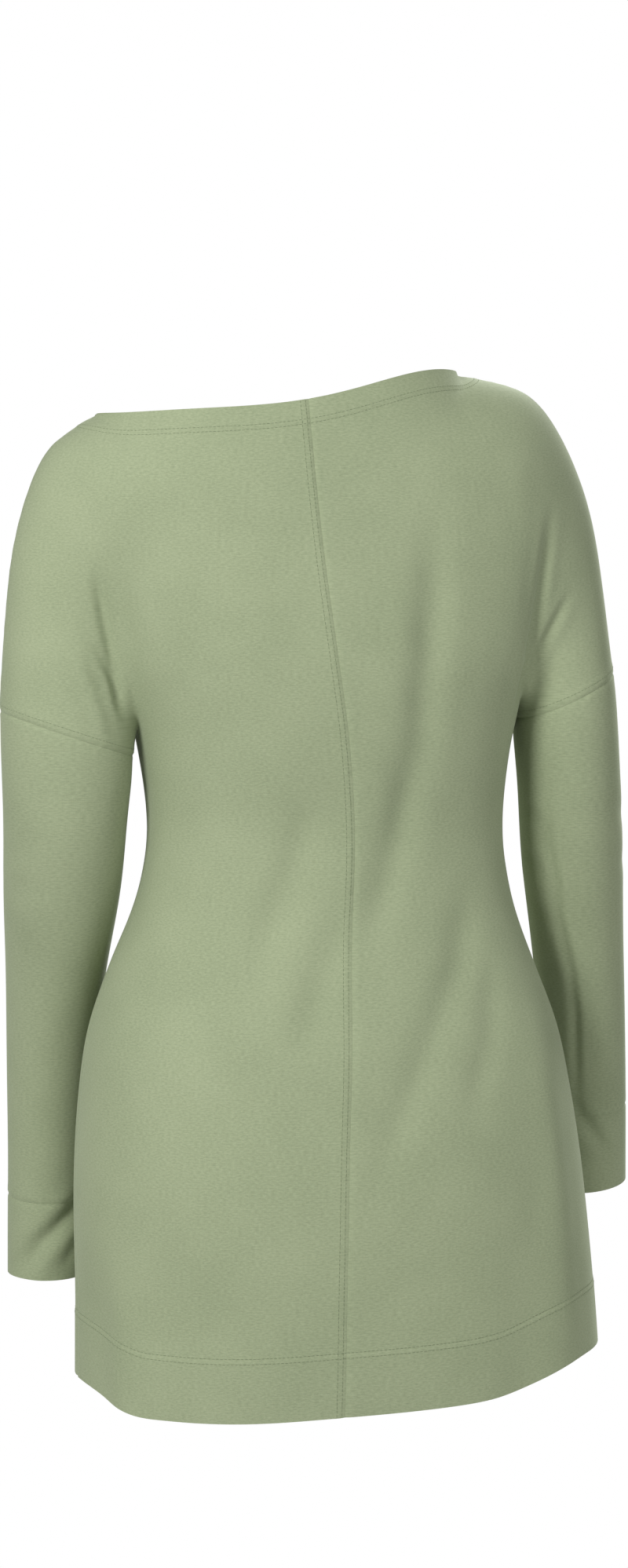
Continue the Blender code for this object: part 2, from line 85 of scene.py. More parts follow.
# Rise of the hem from the centre line (place 0) to each side seam (place 1)
HemPoint = namedtuple("HemPoint", "place rise")
HEM = {
    LEFT: (HemPoint(0.0, 0.0), HemPoint(0.5, -0.0038), HemPoint(0.8, -0.0030),
           HemPoint(0.9, 0.0030), HemPoint(1.0, 0.0106)),
    RIGHT: (HemPoint(0.0, 0.0), HemPoint(0.25, 0.0019), HemPoint(0.5, 0.0046),
            HemPoint(0.65, 0.0105), HemPoint(0.75, 0.0190), HemPoint(0.85, 0.0243),
            HemPoint(1.0, 0.0258)),
}

# Body sections from hem to shoulder: half width, depths behind and before the side
# seams, the section's middle, and the places of the centre back and centre front
Section = namedtuple("Section", "z half_width back front middle seam fold")
BODY = (
    Section(-0.780, 0.2055, 0.120, 0.122, -0.0265, -0.0025, -0.0215),
    Section(-0.700, 0.2025, 0.129, 0.118, -0.0235, -0.0025, -0.0190),
    Section(-0.607, 0.1985, 0.133, 0.115, -0.0180, -0.0035, -0.0170),
    Section(-0.500, 0.1855, 0.122, 0.112, -0.0135, -0.0090, -0.0150),
    Section(-0.440, 0.1650, 0.104, 0.108, -0.0125, -0.0130, -0.0130),
    Section(-0.390, 0.1460, 0.090, 0.104, -0.0145, -0.0170, -0.0100),
    Section(-0.340, 0.1380, 0.086, 0.104, -0.0155, -0.0195, -0.0060),
    Section(-0.265, 0.1465, 0.098, 0.120, -0.0145, -0.0125, 0.0000),
    Section(-0.195, 0.1750, 0.104, 0.120, -0.0130, -0.0020, 0.0060),
    Section(-0.110, 0.2000, 0.100, 0.096, -0.0100, 0.0090, 0.0150),
    Section(-0.050, 0.2120, 0.091, 0.074, -0.0050, 0.0135, 0.0220),
    Section(0.020, 0.2150, 0.082, 0.060, 0.0000, 0.0175, 0.0280),
)

# Neck opening, an oval seen from above, with its two ends at unlike heights; it drops to
# the middle, and between the middle and each end the back edge is lifted a little
NECK_MIDDLE = 0.023
NECK_HALF_WIDTH = 0.141
NECK_Z = -0.0018
NECK_TILT = -0.0150
NECK_DEPTH = {BACK: 0.082, FRONT: 0.064}
NECK_DROP = {BACK: 0.0056, FRONT: 0.066}
NECK_DROP_POWER = {BACK: 1.0, FRONT: 1.8}
NECK_LIFT = {BACK: {LEFT: 0.0020, RIGHT: 0.0112}, FRONT: {LEFT: 0.0, RIGHT: 0.0}}

# The line inside each shoulder round which the cloth rolls, from the neck to the armhole,
# with the outer edge that it rolls to, as distances from the middle
Shoulder = namedtuple("Shoulder", "axis_x axis_z edge_x edge_z")
SHOULDER = {
    LEFT: (
        Shoulder(0.128, -0.072, 0.1640, -0.0166),
        Shoulder(0.145, -0.075, 0.1860, -0.0305),
        Shoulder(0.158, -0.085, 0.2075, -0.0500),
        Shoulder(0.170, -0.113, 0.2230, -0.0930),
        Shoulder(0.181, -0.163, 0.2325, -0.1480),
        Shoulder(0.185, -0.2495, 0.2390, -0.2360),
    ),
    RIGHT: (
        Shoulder(0.099, -0.053, 0.1180, 0.0132),
        Shoulder(0.128, -0.058, 0.1500, 0.0078),
        Shoulder(0.148, -0.071, 0.1895, -0.0085),
        Shoulder(0.166, -0.102, 0.2210, -0.0720),
        Shoulder(0.185, -0.152, 0.2340, -0.1320),
        Shoulder(0.200, -0.2325, 0.2435, -0.2100),
    ),
}
CORNER_ROW = 2
NECK_SHARE = {LEFT: 0.64, RIGHT: 0.56}
CENTRE_AXIS_Z = {BACK: -0.060, FRONT: -0.110}
UNDERARM_Z = {LEFT: -0.263, RIGHT: -0.248}
ARM_DEPTH = 0.050

# Softness of the crease between the body and the upper arm, growing above the underarm
CREASE_SOFTNESS = 0.030
CREASE_REACH = 0.090
LEAST_SOFTNESS = 0.000001

# Sleeve sections from the armhole seam to the cuff's end: centre, the slope of the section
# across the arm and from back to front, and half width and half depth
Ring = namedtuple("Ring", "z x y tilt lean half_width half_depth")
SLEEVE = {
    LEFT: (
        Ring(-0.2585, 0.1867, 0.000, 0.36, 0.00, 0.0552, 0.0505),
        Ring(-0.3200, 0.1860, -0.011, 0.10, 0.06, 0.0490, 0.0500),
        Ring(-0.3800, 0.1850, -0.034, 0.04, 0.14, 0.0465, 0.0480),
        Ring(-0.4500, 0.1852, -0.066, 0.00, 0.18, 0.0400, 0.0430),
        Ring(-0.5300, 0.1855, -0.094, 0.00, 0.14, 0.0350, 0.0390),
        Ring(-0.6340, 0.1855, -0.113, 0.00, 0.06, 0.0315, 0.0360),
        Ring(-0.6960, 0.1850, -0.118, 0.00, 0.02, 0.0315, 0.0350),
    ),
    RIGHT: (
        Ring(-0.2345, 0.2050, 0.000, 0.44, 0.00, 0.0440, 0.0510),
        Ring(-0.3000, 0.2125, -0.009, 0.20, 0.05, 0.0410, 0.0540),
        Ring(-0.3600, 0.2195, -0.025, 0.10, 0.11, 0.0405, 0.0520),
        Ring(-0.4300, 0.2300, -0.047, 0.06, 0.15, 0.0375, 0.0460),
        Ring(-0.5000, 0.2410, -0.070, 0.06, 0.16, 0.0350, 0.0410),
        Ring(-0.5750, 0.2495, -0.090, 0.08, 0.12, 0.0335, 0.0370),
        Ring(-0.6390, 0.2525, -0.098, 0.12, 0.08, 0.0330, 0.0350),
    ),
}
SEAM_ROW = 1
CUFF_ROW = -2

# Smoothing of the shoulders after the patches are joined, in steps inward and outward
# that keep the size
SMOOTH_STEPS = 12
SMOOTH_SHARES = (0.50, -0.52)
SMOOTH_FROM_Z = -0.235
SMOOTH_FULL_Z = -0.150

Wrinkle = namedtuple("Wrinkle", "width height line")


def wrinkle(width, height, *line):
    """A soft trough (height below 0) or ridge along a line, all given in millimetres."""
    return Wrinkle(width / 1000, height / 1000, np.array(line) / 1000)


# Folds of the body by face, along lines of x and z
FOLDS = {
    BACK: (
        wrinkle(10.0, -5.0, (-76, -85), (-72, -196), (-62, -286), (-41, -376), (-10, -440)),
        wrinkle(11.0, 3.0, (-56, -90), (-52, -196), (-42, -286), (-21, -366), (8, -430)),
        wrinkle(9.0, -4.4, (4, -280), (18, -345), (36, -390), (64, -445)),
        wrinkle(9.0, -4.2, (-10, -390), (10, -448), (32, -500)),
        wrinkle(10.0, -5.5, (-113, -370), (-99, -444), (-69, -493), (-44, -547), (-22, -602)),
        wrinkle(9.0, -4.2, (-127, -430), (-120, -493), (-98, -555)),
        wrinkle(8.0, 5.0, (-164, -460), (-172, -600), (-177, -775)),
        wrinkle(8.0, -4.5, (-148, -560), (-152, -660), (-153, -775)),
        wrinkle(7.0, -4.2, (171, -650), (170, -775)),
        wrinkle(7.0, 4.0, (154, -650), (152, -775)),
        wrinkle(9.0, -5.0, (166, -125), (159, -180), (150, -240)),
        wrinkle(9.0, -4.0, (-180, -90), (-172, -160), (-164, -228)),
    ),
    FRONT: (
        wrinkle(12.0, -4.5, (62, -150), (70, -230), (62, -310), (36, -400)),
        wrinkle(12.0, -4.0, (-70, -160), (-82, -240), (-74, -320), (-50, -390)),
        wrinkle(12.0, -3.5, (110, -360), (92, -430), (50, -500)),
        wrinkle(12.0, -3.5, (-120, -350), (-108, -420), (-70, -505)),
        wrinkle(10.0, -3.0, (122, -600), (128, -775)),
        wrinkle(10.0, 3.0, (-118, -590), (-126, -775)),
        wrinkle(10.0, -3.5, (162, -130), (154, -190), (146, -240)),
        wrinkle(10.0, -3.5, (-180, -120), (-172, -180), (-164, -228)),
    ),
}
FOLD_TAPER = 0.25


def smooth_value(table, key, name, at):
    """Reads a column of a table at other places, on a smooth curve that never overshoots."""
    rows = sorted(table, key=lambda row: getattr(row, key))
    places = np.array([getattr(row, key) for row in rows])
    values = np.array([getattr(row, name) for row in rows])
    steps = np.diff(values) / np.diff(places)
    before, after = steps[:-1], steps[1:]
    same_way = before * after > 0
    total = np.where(same_way, before + after, 1.0)
    turns = np.where(same_way, 2 * before * after / total, 0.0)
    slopes = np.concatenate([steps[:1], turns, steps[-1:]])
    at = np.clip(at, places[0], places[-1])
    index = np.clip(np.searchsorted(places, at) - 1, 0, len(places) - 2)
    span = places[index + 1] - places[index]
    t = (at - places[index]) / span
    return (
        values[index] * (1 + 2 * t) * (1 - t) ** 2
        + slopes[index] * span * t * (1 - t) ** 2
        + values[index + 1] * t ** 2 * (3 - 2 * t)
        - slopes[index + 1] * span * t ** 2 * (1 - t)
    )


def body(name, z):
    return smooth_value(BODY, "z", name, z)


def smooth_step(value):
    t = np.clip(value, 0.0, 1.0)
    return t * t * (3 - 2 * t)


def step_lengths(chain):
    return np.linalg.norm(np.diff(chain, axis=0), axis=1)


def centre_line(face, z):
    """The x of the centre back seam, or of the front's centre fold."""
    return body("seam" if face == BACK else "fold", z)


def hem_z(side, place):
    return HEM_Z + smooth_value(HEM[side], "place", "rise", place)


def underarm(side):
    z = UNDERARM_Z[side]
    return body("middle", z) + side * body("half_width", z), z


def torso_depth(face, x, z):
    part = np.clip(np.abs(x - body("middle", z)) / body("half_width", z), 0.0, 1.0)
    depth = body("back" if face == BACK else "front", z)
    return depth * (1 - part ** ROUND_POWER) ** (1 / ROUND_POWER)


def shoulder_rows(side):
    """The side's table, with the last axis point midway across the armhole."""
    rows = SHOULDER[side]
    x, z = underarm(side)
    last = rows[-1]
    middle = last._replace(axis_x=0.5 * (side * x + last.edge_x), axis_z=0.5 * (z + last.edge_z))
    return rows[:-1] + (middle,)


def arm_depth(side, x, z):
    """Depth of the upper arm's inner half, level beyond its axis."""
    rows = shoulder_rows(side)[CORNER_ROW:]
    armhole = rows[-1]
    axis = smooth_value(rows, "axis_z", "axis_x", z)
    radius = armhole.axis_x - side * underarm(side)[0]
    inward = np.clip((axis - side * x) / radius, 0.0, 1.0)
    return ARM_DEPTH * np.sqrt(1 - inward ** 2)


def depth(side, face, x, z):
    """How far the cloth stands from the plane of the side seams, above the underarm."""
    torso = torso_depth(face, x, z)
    arm = arm_depth(side, x, z)
    growth = smooth_step((z - UNDERARM_Z[side]) / CREASE_REACH)
    soft = LEAST_SOFTNESS + CREASE_SOFTNESS * growth
    overlap = np.maximum(soft - np.abs(torso - arm), 0.0)
    return np.maximum(torso, arm) + overlap ** 2 / (4 * soft)


def side_spacing(count):
    """Places from the centre, 0, to the side, 1, closer together at the side."""
    sine = np.sin(np.linspace(0.0, np.pi / 2, count + 1))
    return EVEN_SHARE * sine + (1 - EVEN_SHARE) * sine ** (2 / ROUND_POWER)


def line_places(table, names, count):
    """Points at even steps along a table's rows, on a smooth curve through them."""
    Row = namedtuple("Row", "place " + " ".join(names))
    corners = np.array([[getattr(row, name) for name in names] for row in table])
    steps = step_lengths(corners[:, :2])
    places = np.concatenate([[0.0], np.cumsum(steps)])
    rows = [Row(place, *values) for place, values in zip(places, corners)]
    at = np.linspace(0.0, places[-1], count + 1)
    return np.stack([smooth_value(rows, "place", name, at) for name in names], axis=-1)


def neck_edge(face, turn):
    """A point of the neck edge, at a turn of -1 (right end) to 1 (left end)."""
    angle = turn * np.pi / 2
    x = NECK_MIDDLE + NECK_HALF_WIDTH * np.sin(angle)
    y = NECK_DEPTH[face] * np.cos(angle)
    lift = np.where(angle > 0, NECK_LIFT[face][LEFT], NECK_LIFT[face][RIGHT])
    round_part = np.maximum(np.cos(angle), 0.0) ** NECK_DROP_POWER[face]
    z = NECK_Z + NECK_TILT * np.sin(angle) - NECK_DROP[face] * round_part
    return x, y, z + lift * np.sin(2 * angle) ** 2


def centre_turn(face):
    """The turn at which the neck edge meets the centre line."""
    x = centre_line(face, NECK_Z - NECK_DROP[face])
    return float(np.arcsin((x - NECK_MIDDLE) / NECK_HALF_WIDTH) * 2 / np.pi)


def roll_line(side, face):
    """Rows of axis x, axis z, edge x, edge z and edge depth, from the centre to the armhole."""
    shoulder_columns = TORSO_COLUMNS + ARM_COLUMNS
    names = ("axis_x", "axis_z", "edge_x", "edge_z")
    neck_columns = int(round(shoulder_columns * NECK_SHARE[side]))
    rows = shoulder_rows(side)
    first = rows[0]
    start_turn = centre_turn(face)
    edge_x, edge_y, edge_z = neck_edge(face, np.linspace(start_turn, side, neck_columns + 1))
    part = np.linspace(0.0, 1.0, neck_columns + 1)
    start_x = centre_line(face, CENTRE_AXIS_Z[face])
    axis_x = start_x + (side * first.axis_x - start_x) * part
    blend = smooth_step(part)
    axis_z = CENTRE_AXIS_Z[face] + (first.axis_z - CENTRE_AXIS_Z[face]) * blend
    neck = np.stack([axis_x, axis_z, edge_x, edge_z, edge_y], axis=-1)
    ridge = line_places(rows[:CORNER_ROW + 1], names, shoulder_columns - neck_columns)
    outer = line_places(rows[CORNER_ROW:], names, UPPER_ROWS)
    seam = np.concatenate([ridge[1:], outer[1:]])
    seam = seam * (side, 1.0, side, 1.0)
    seam = np.concatenate([seam, np.zeros((len(seam), 1))], axis=1)
    return np.concatenate([neck, seam])


def coons(bottom, top, inner, outer):
    """Fills the plane patch between four edges, rows upward and columns outward."""
    rows, columns = len(inner), len(bottom)
    r = np.linspace(0.0, 1.0, rows)[:, None, None]
    c = np.linspace(0.0, 1.0, columns)[None, :, None]
    across = inner[:, None] * (1 - c) + outer[:, None] * c
    along = bottom[None] * (1 - r) + top[None] * r
    corners = (
        bottom[0] * (1 - r) * (1 - c) + bottom[-1] * (1 - r) * c
        + top[0] * r * (1 - c) + top[-1] * r * c
    )
    return across + along - corners


def lower_patch(side, face):
    """Body from the hem to the underarm, between a centre line and a side seam."""
    spacing = side_spacing(TORSO_COLUMNS)
    middle_z = 0.5 * (UNDERARM_Z[LEFT] + UNDERARM_Z[RIGHT])
    top_z = middle_z + (UNDERARM_Z[side] - middle_z) * spacing
    hem_top = HEM_DEPTH / (middle_z - HEM_Z)
    step = HEM_STEP / (middle_z - HEM_Z)
    hem = np.linspace(0.0, hem_top, HEM_ROWS + 1)
    above = np.linspace(hem_top + step, 1.0, LOWER_ROWS - HEM_ROWS)
    height = np.concatenate([hem, above])[:, None]
    bottom_z = hem_z(side, spacing)
    z = bottom_z[None] + (top_z - bottom_z)[None] * height
    centre = centre_line(face, z)
    edge = body("middle", z) + side * body("half_width", z)
    x = centre + (edge - centre) * spacing[None]
    y = face * torso_depth(face, x, z)
    return np.stack([x, y, z], axis=-1)


def upper_patch(side, face):
    """Body from the underarm to the line where the cloth starts to roll over the shoulder."""
    lower_top = lower_patch(side, face)[-1][:, [0, 2]]
    roll = roll_line(side, face)
    columns = TORSO_COLUMNS + ARM_COLUMNS
    top = roll[:columns + 1, :2]
    outer = roll[columns:, :2][::-1]
    start = lower_top[-1]
    end = roll[-1, :2]
    step = 1 - np.cos(np.linspace(0.0, np.pi / 2, ARM_COLUMNS + 1)[1:])
    armhole = start + (end - start) * step[:, None]
    bottom = np.concatenate([lower_top, armhole])
    height = np.linspace(0.0, 1.0, UPPER_ROWS + 1) ** UPPER_ROW_POWER
    z = lower_top[0][1] + (top[0][1] - lower_top[0][1]) * height
    inner = np.stack([centre_line(face, z), z], axis=-1)
    inner[-1] = top[0]
    plane = coons(bottom, top, inner, outer)
    x, z = plane[..., 0], plane[..., 1]
    return np.stack([x, face * depth(side, face, x, z), z], axis=-1)


def roll_patch(side, face):
    """The band that rolls from the back or front over the shoulder to its seam."""
    roll = roll_line(side, face)
    axis = roll[:, None, :2]
    edge = roll[:, None, 2:4]
    full = depth(side, face, roll[:, 2], roll[:, 3])
    stop = np.arccos(np.clip(roll[:, 4] / full, 0.0, 1.0))
    angle = stop[:, None] * np.linspace(0.0, 1.0, ROLL_ROWS + 1)[None]
    share = np.sin(angle) / np.sin(stop)[:, None]
    plane = axis + (edge - axis) * share[..., None]
    x, z = plane[..., 0], plane[..., 1]
    y = depth(side, face, x, z) * np.cos(angle)
    return np.stack([x, face * y, z], axis=-1)


def sleeve_rows(side):
    """The armhole's section, then those of the table."""
    armhole = shoulder_rows(side)[-1]
    inner_x, inner_z = underarm(side)
    run = armhole.edge_x - side * inner_x
    rise = armhole.edge_z - inner_z
    half = 0.5 * float(np.hypot(run, rise))
    tilt = float(np.arctan2(rise, run))
    top = Ring(armhole.axis_z, armhole.axis_x, 0.0, tilt, 0.0, half, ARM_DEPTH)
    return (top,) + SLEEVE[side]


def half_ring():
    """Angles round the back half of an arm, from its inner side to its outer side."""
    inner = np.linspace(0.0, np.pi / 2, ARM_COLUMNS + 1)
    outer = np.pi / 2 + np.linspace(0.0, np.pi / 2, ROLL_ROWS + 1)[1:]
    return np.concatenate([inner, outer])


def tube_patch(side, angles, first_z, last_z, rows):
    """A stretch of the sleeve's surface, at given angles round the arm."""
    table = sleeve_rows(side)
    z = np.linspace(first_z, last_z, rows + 1)
    value = {name: smooth_value(table, "z", name, z)[:, None] for name in Ring._fields[1:]}
    across = -np.cos(angles)[None] * value["half_width"]
    back = np.sin(angles)[None] * value["half_depth"]
    x = side * (value["x"] + across * np.cos(value["tilt"]))
    y = value["y"] + back * np.cos(value["lean"])
    height = z[:, None] + across * np.sin(value["tilt"]) - back * np.sin(value["lean"])
    return np.stack([x, y, height], axis=-1)


def patches():
    """All patches of the surface with the name of the piece that each belongs to."""
    names = {(LEFT, BACK): "back_left", (RIGHT, BACK): "back_right"}
    around = np.concatenate([half_ring(), 2 * np.pi - half_ring()[:-1][::-1]])
    result = []
    for side in SIDES:
        table = sleeve_rows(side)
        seam_z = table[SEAM_ROW].z
        cuff_z = table[CUFF_ROW].z
        for face in FACES:
            piece = names.get((side, face), "front")
            for patch in (lower_patch, upper_patch, roll_patch):
                result.append((piece, patch(side, face)))
            cap = tube_patch(side, face * half_ring(), table[0].z, seam_z, 1)
            result.append((piece, cap))
        label = "left" if side == LEFT else "right"
        sleeve = tube_patch(side, around, seam_z, cuff_z, SLEEVE_ROWS)
        cuff = tube_patch(side, around, cuff_z, table[-1].z, CUFF_ROWS)
        result.append(("sleeve_" + label, sleeve))
        result.append(("cuff_" + label, cuff))
    return result


def smooth_shoulders(mesh):
    """Evens out the joins of the patches above the underarms, and the neck edge along itself."""
    reach = SMOOTH_FULL_Z - SMOOTH_FROM_Z
    weight = {v: float(smooth_step((v.co.z - SMOOTH_FROM_Z) / reach)) for v in mesh.verts}
    near = {vertex: [edge.other_vert(vertex) for edge in vertex.link_edges
                     if edge.is_boundary or not vertex.is_boundary]
            for vertex in mesh.verts if weight[vertex] > 0}
    for share in SMOOTH_SHARES * SMOOTH_STEPS:
        target = {vertex: sum((other.co for other in others), vertex.co * 0) / len(others)
                  for vertex, others in near.items()}
        for vertex, place in target.items():
            vertex.co = vertex.co.lerp(place, share * weight[vertex])


def along_line(points, line):
    """Distance of points of a drawing from a line, and how far along it each one is."""
    lengths = step_lengths(line)
    best = np.full(len(points), np.inf)
    place = np.zeros(len(points))
    done = 0.0
    for start, end, length in zip(line, line[1:], lengths):
        part = np.clip((points - start) @ (end - start) / length ** 2, 0.0, 1.0)
        away = np.linalg.norm(points - start - part[:, None] * (end - start), axis=1)
        nearer = away < best
        best = np.where(nearer, away, best)
        place = np.where(nearer, (done + part * length) / lengths.sum(), place)
        done += length
    return best, place


def fold_heights(points):
    """Height of the body's folds at each point, along the cloth's normal."""
    height = np.zeros(len(points))
    for face, folds in FOLDS.items():
        on_face = np.sign(points[:, 1]) == face
        for fold in folds:
            away, place = along_line(points[:, [0, 2]], fold.line)
            ends = smooth_step(place / FOLD_TAPER)
            if fold.line[-1][1] > HEM_Z:
                ends = ends * smooth_step((1 - place) / FOLD_TAPER)
            height += on_face * fold.height * ends * np.exp(-((away / fold.width) ** 2) / 2)
    return height


def surface():
    """Welds the patches into one bmesh whose faces carry their piece's number."""
    mesh = bmesh.new()
    layer = mesh.faces.layers.int.new("piece")
    names = []
    for piece, points in patches():
        if piece not in names:
            names.append(piece)
        grid = [[mesh.verts.new(point) for point in row] for row in points]
        for row, above in zip(grid, grid[1:]):
            for a, b, c, d in zip(row, row[1:], above[1:], above):
                face = mesh.faces.new((a, b, c, d))
                face[layer] = names.index(piece)
    bmesh.ops.remove_doubles(mesh, verts=mesh.verts, dist=WELD)
    bmesh.ops.recalc_face_normals(mesh, faces=mesh.faces)
    hindmost = max(mesh.faces, key=lambda face: face.calc_center_median().y)
    if hindmost.normal.y < 0:
        bmesh.ops.reverse_faces(mesh, faces=mesh.faces)
    smooth_shoulders(mesh)
    mesh.normal_update()
    sleeves = {names.index(name) for name in names if name.startswith(("sleeve", "cuff"))}
    verts = [v for v in mesh.verts if not any(f[layer] in sleeves for f in v.link_faces)]
    heights = fold_heights(np.array([vertex.co for vertex in verts]))
    for vertex, height in zip(verts, heights):
        vertex.co += vertex.normal * float(height)
    mesh.normal_update()
    return mesh, names


# Fine form of each piece: subdivision of the coarse surface, then what shapes it further
FINE_LEVELS = 3
PLAIN_LEVELS = 2
PLAIN_PIECES = ("front",)

# Directions from which creases are drawn, and the two axes of each drawing
View = namedtuple("View", "direction axes")
VIEWS = {
    "back": View((0.0, 1.0, 0.0), (0, 2)),
    "front": View((0.0, -1.0, 0.0), (0, 2)),
    "left": View((1.0, 0.0, 0.0), (1, 2)),
    "right": View((-1.0, 0.0, 0.0), (1, 2)),
}
VIEW_FADE = 0.35

# Groups of pieces
BODY_PIECES = ("back_left", "back_right", "front")
LEFT_ARM = ("sleeve_left", "cuff_left")
RIGHT_ARM = ("sleeve_right", "cuff_right")
CUFFS = ("cuff_left", "cuff_right")
ALL_PIECES = BODY_PIECES + LEFT_ARM + RIGHT_ARM

# Creases, each with lower swells beside it, by the pieces that they cross and the view that
# their lines are drawn in
CREASES = (
    (ALL_PIECES, "back", (
        # Left armpit
        wrinkle(3.4, -3.0, (176, -120), (161, -188), (152, -232), (142, -262)),
        wrinkle(2.6, -1.8, (174, -186), (158, -218), (149, -248)),
        wrinkle(4.0, 1.2, (190, -190), (172, -236), (160, -275)),
        # Right armpit
        wrinkle(3.6, -2.8, (-181, -80), (-168, -170), (-158, -232), (-150, -262)),
        wrinkle(3.0, -2.0, (-200, -150), (-178, -190), (-162, -226)),
        wrinkle(2.6, -1.4, (-178, -186), (-162, -216), (-152, -244)),
    )),
    (ALL_PIECES, "front", (
        # Both armpits
        wrinkle(4.5, -2.6, (172, -120), (158, -190), (145, -255)),
        wrinkle(3.5, -1.4, (184, -170), (165, -215), (148, -262)),
        wrinkle(5.0, -2.4, (-186, -100), (-170, -180), (-156, -245)),
        wrinkle(3.5, -1.3, (-200, -160), (-178, -205), (-160, -240)),
    )),
    (BODY_PIECES, "back", (
        # Softer lines within the large folds
        wrinkle(8.5, -1.6, (-82, -60), (-78, -150), (-68, -270), (-46, -370), (-10, -450)),
        wrinkle(8.5, -1.3, (10, -300), (26, -352), (44, -400), (70, -458)),
        wrinkle(8.0, -1.2, (-14, -375), (8, -440), (38, -510)),
        wrinkle(8.0, -1.2, (-114, -350), (-100, -430), (-70, -490), (-42, -550), (-16, -625)),
        wrinkle(7.0, -0.9, (-130, -420), (-121, -485), (-98, -550)),
    )),
    (BODY_PIECES, "front", (
        # Folds like those of the back, and pulls at the waist
        wrinkle(8.5, -2.0, (60, -170), (68, -255), (58, -330), (28, -415)),
        wrinkle(8.5, -1.8, (-74, -190), (-84, -270), (-72, -340), (-44, -405)),
        wrinkle(8.0, -1.6, (114, -365), (92, -440), (48, -510)),
        wrinkle(8.0, -1.6, (-124, -355), (-108, -430), (-66, -520)),
        wrinkle(6.0, -2.0, (122, -328), (84, -350), (38, -362)),
        wrinkle(6.0, -1.8, (-148, -340), (-104, -364), (-56, -374)),
    )),
    (RIGHT_ARM, "back", (
        # Underarm seam and the small pulls beside it
        wrinkle(2.6, -2.2, (-180, -280), (-188, -350), (-196, -383), (-203, -414), (-217, -459),
                (-224, -492), (-231, -549), (-236, -600)),
        wrinkle(2.0, -1.0, (-170, -312), (-178, -326), (-185, -344)),
        wrinkle(2.2, -1.0, (-176, -355), (-184, -368), (-191, -386)),
        wrinkle(2.2, -0.9, (-182, -392), (-190, -404), (-198, -420)),
    )),
    # Creases across the cuffs
    (LEFT_ARM, "back", (
        wrinkle(5.5, -4.2, (152, -622), (172, -646), (196, -668), (214, -700)),
        wrinkle(4.0, -1.2, (154, -655), (168, -672), (178, -690)),
    )),
    (RIGHT_ARM, "back", (
        wrinkle(4.5, -2.6, (-226, -562), (-240, -584), (-252, -600), (-266, -612)),
    )),
    # Soft pulls at the elbows
    (LEFT_ARM, "left", (
        wrinkle(6.0, -0.5, (30, -330), (4, -350), (-30, -352)),
        wrinkle(6.0, -0.6, (18, -372), (-12, -384), (-44, -380)),
    )),
    (RIGHT_ARM, "right", (
        wrinkle(6.0, -0.5, (34, -316), (6, -332), (-28, -328)),
        wrinkle(6.0, -0.5, (24, -362), (-6, -370), (-36, -362)),
    )),
    (LEFT_ARM, "front", (
        wrinkle(5.0, -1.4, (148, -392), (172, -408), (200, -400)),
        wrinkle(4.5, -1.2, (150, -424), (176, -436), (204, -430)),
    )),
    (RIGHT_ARM, "front", (
        wrinkle(5.0, -1.4, (-188, -360), (-212, -376), (-240, -366)),
        wrinkle(4.5, -1.2, (-196, -396), (-220, -408), (-246, -400)),
    )),
)
RIDGE_SHARE = 0.30
RIDGE_PLACE = 2.1
CREASE_TAPER = 0.30


def crease_heights(points, normals, own):
    """Height of the creases at each point, along the cloth's normal."""
    height = np.zeros(len(points))
    for names, view, creases in CREASES:
        facing = normals @ np.array(VIEWS[view].direction)
        chosen = np.any([own[name] for name in names], axis=0)
        weight = smooth_step(facing / VIEW_FADE) * chosen
        for crease in creases:
            away, place = along_line(points[:, VIEWS[view].axes], crease.line)
            ends = smooth_step(place / CREASE_TAPER) * smooth_step((1 - place) / CREASE_TAPER)
            across = away / crease.width
            trough = np.exp(-(across ** 2) / 2)
            swell = np.exp(-((across - RIDGE_PLACE) ** 2) / 2)
            height += weight * ends * crease.height * (trough - RIDGE_SHARE * swell)
    return height


# Seams and edges of the fine surface: seams are drawn in a little and puckered unevenly,
# and the turnings lie under one side of each as a low band
SEAM_DEPTH = 0.0009
SEAM_WIDTH = 0.0013
PUCKER_LENGTHS = (0.013, 0.022)
PUCKER_HEIGHT = 0.00022
PUCKER_WIDTH = 0.0055
TURNING_HEIGHT = 0.00015
TURNING_DEPTH = 0.008
NECK_DEPTH_OF_BAND = 0.0175
BAND_HEIGHT = 0.0004
BAND_EDGE = 0.0015
EDGE_STEP = 0.0004
SEAM_LINE = 0.00006
HEM_BELOW_Z = -0.720
NECK_ABOVE_Z = -0.100

# Stitch rows: distances from the neck edge, the hem's edge and the seams
STITCH_ROWS = {
    "neck": (0.0150, 0.0185),
    "hem": (0.0455, 0.0495),
    "armhole": (0.0050,),
    "back": (0.0026, 0.0064),
}
STITCH_LENGTH = 0.0024
STITCH_GAP = 0.0007
STITCH_WIDTH = 0.00045
STITCH_HEIGHT = 0.00030
STITCH_SINK = 0.00010
STITCH_END = 0.4
SHORTEST_ROW = 4 * STITCH_LENGTH

# Radii that turn angles round the body and the arms into lengths of cloth
BODY_RADIUS = 0.145
ARM_RADIUS = 0.043

# Flat cut of each piece: width, length and area
Cut = namedtuple("Cut", "width length area")
CUTS = {
    "back_left": Cut(0.270, 0.795, 0.184),
    "back_right": Cut(0.275, 0.810, 0.196),
    "front": Cut(0.520, 0.810, 0.366),
    "sleeve_left": Cut(0.290, 0.400, 0.100),
    "sleeve_right": Cut(0.295, 0.370, 0.091),
    "cuff_left": Cut(0.215, 0.066, 0.0130),
    "cuff_right": Cut(0.220, 0.070, 0.0137),
}

Surface = namedtuple("Surface", "points normals quads piece")


def add_object(name, data):
    thing = bpy.data.objects.new(name, data)
    bpy.context.scene.collection.objects.link(thing)
    return thing


